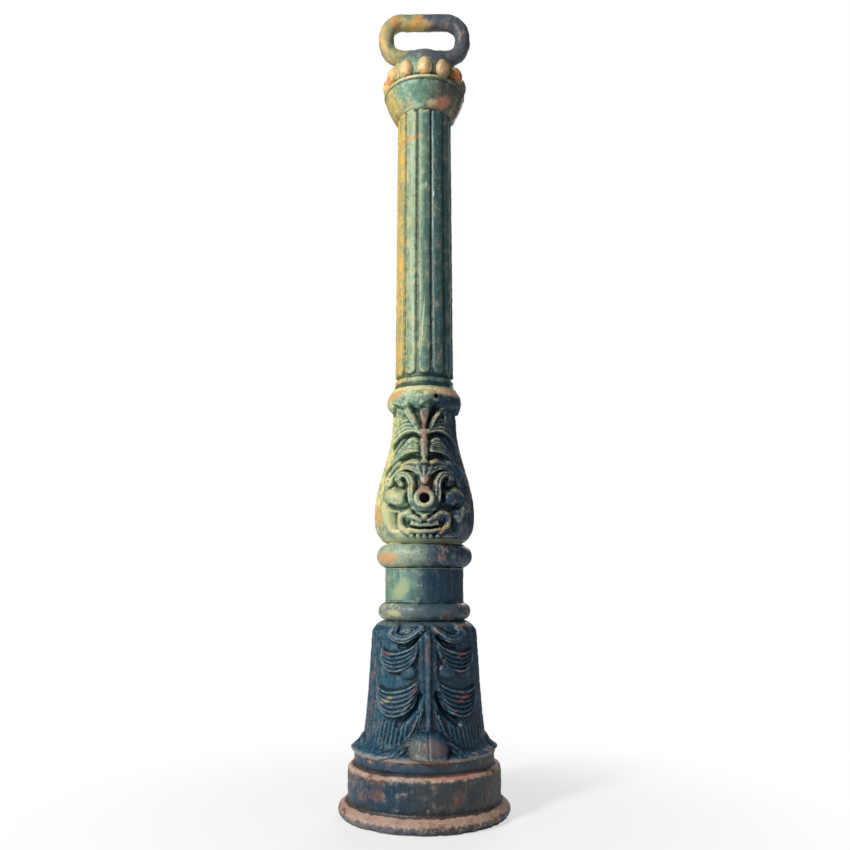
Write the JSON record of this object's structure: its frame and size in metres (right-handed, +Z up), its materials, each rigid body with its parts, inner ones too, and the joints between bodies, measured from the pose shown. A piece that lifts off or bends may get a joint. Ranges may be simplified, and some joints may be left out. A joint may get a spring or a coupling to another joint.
{
  "type": "cast iron column",
  "caption": "Hollow cast iron column: round flanged foot, bell with acanthus leaves, vase with a spout mask, reeded shaft, beaded cap and a loop handle on top.",
  "frame": {"origin": "on the axis, in the plane that the foot stands on", "axes": "+Z up along the column; the mask with the spout hole faces -Y; the loop's bar runs along X"},
  "size_m": [0.24, 0.24, 1.0996],
  "materials": {
    "painted_iron": "old blue-green paint, worn and dusted with ochre rust"
  },
  "bodies": {
    "root": {"column": "painted_iron"}
  },
  "joints": []
}
